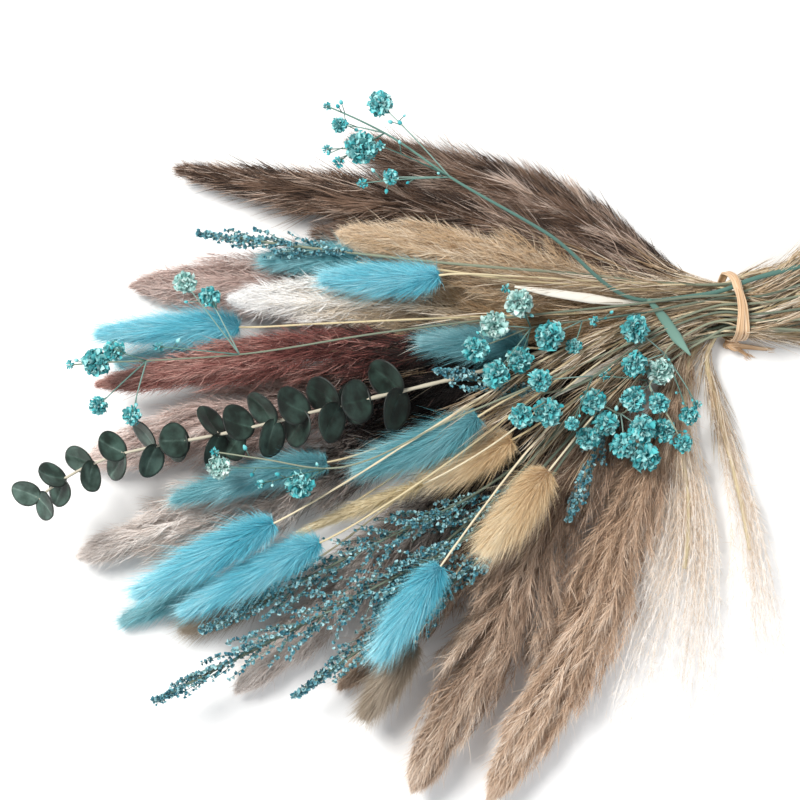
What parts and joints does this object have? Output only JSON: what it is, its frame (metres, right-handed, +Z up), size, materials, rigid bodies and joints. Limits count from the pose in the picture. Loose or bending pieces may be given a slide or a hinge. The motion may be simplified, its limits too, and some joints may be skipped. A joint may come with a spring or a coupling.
{
  "type": "dried pampas grass bunch",
  "caption": "Hand-tied bunch of dried pampas and reed plumes with dyed bunny tails, gypsophila, sea lavender and eucalyptus, lying on its side, bound by a raffia band.",
  "frame": {"origin": "on the table, under the middle of the bunch's box", "axes": "+X from the heads along the bunch to the cut stem ends, +Y across it to the side of the dark reed plumes, +Z up from the table"},
  "size_m": [0.4534, 0.3472, 0.0685],
  "materials": {
    "pampas_tan": "soft matt plume of fine hairs, tan with paler tips",
    "pampas_wisp": "thin airy matt plume, almost white",
    "pampas_pale": "soft matt plume, grey white",
    "pampas_blush": "soft matt plume, pinkish grey",
    "pampas_mauve": "soft matt plume, dusky red brown",
    "pampas_cream": "soft matt plume, white at the tip and tan at the neck",
    "reed_umber": "coarse matt plume, dark brown",
    "bunny_turquoise": "short silky fur, bright turquoise dye",
    "bunny_teal": "short silky fur, deep teal dye",
    "bunny_buff": "short silky fur, natural buff",
    "sea_lavender": "dry papery florets, dusty blue green",
    "foxtail_straw": "bristly dry ear, straw colour",
    "blade_straw": "dry grass blade, satin straw",
    "eucalyptus_leaf": "dry waxy leaf, dark green with a grey bloom",
    "gypsophila_blue": "dry papery florets on thin stems, turquoise dye",
    "raffia": "dry fibrous strip, pale tan"
  },
  "bodies": {
    "root": {"pampas_plume_1": "pampas_tan", "pampas_plume_2": "pampas_tan", "pampas_plume_3": "pampas_tan", "pampas_plume_4": "pampas_wisp", "pampas_plume_5": "pampas_wisp", "pampas_plume_6": "pampas_pale", "pampas_plume_7": "pampas_pale", "pampas_plume_8": "pampas_blush", "pampas_plume_9": "pampas_mauve", "pampas_plume_10": "pampas_blush", "pampas_plume_11": "pampas_cream", "pampas_plume_12": "pampas_cream", "reed_plume_1": "reed_umber", "reed_plume_2": "reed_umber", "reed_plume_3": "reed_umber", "bunny_tail_1": "bunny_turquoise", "bunny_tail_2": "bunny_teal", "bunny_tail_3": "bunny_turquoise", "bunny_tail_4": "bunny_teal", "bunny_tail_5": "bunny_teal", "bunny_tail_6": "bunny_teal", "bunny_tail_7": "bunny_teal", "bunny_tail_8": "bunny_turquoise", "bunny_tail_9": "bunny_turquoise", "bunny_tail_10": "bunny_teal", "bunny_tail_11": "bunny_turquoise", "bunny_tail_12": "bunny_buff", "bunny_tail_13": "bunny_buff", "bunny_tail_14": "bunny_buff", "bunny_tail_15": "bunny_buff", "sea_lavender_1": "sea_lavender", "sea_lavender_2": "sea_lavender", "sea_lavender_3": "sea_lavender", "sea_lavender_4": "sea_lavender", "sea_lavender_5": "sea_lavender", "sea_lavender_6": "sea_lavender", "sea_lavender_7": "sea_lavender", "foxtail_1": "foxtail_straw", "straw_blade_1": "blade_straw", "straw_blade_2": "blade_straw", "eucalyptus_sprig": "eucalyptus_leaf", "gypsophila_spray_1": "gypsophila_blue", "gypsophila_spray_2": "gypsophila_blue", "gypsophila_spray_3": "gypsophila_blue", "gypsophila_spray_4": "gypsophila_blue", "gypsophila_spray_5": "gypsophila_blue", "gypsophila_spray_6": "gypsophila_blue", "gypsophila_spray_7": "gypsophila_blue", "raffia_band": "raffia", "raffia_knot": "raffia"}
  },
  "joints": []
}
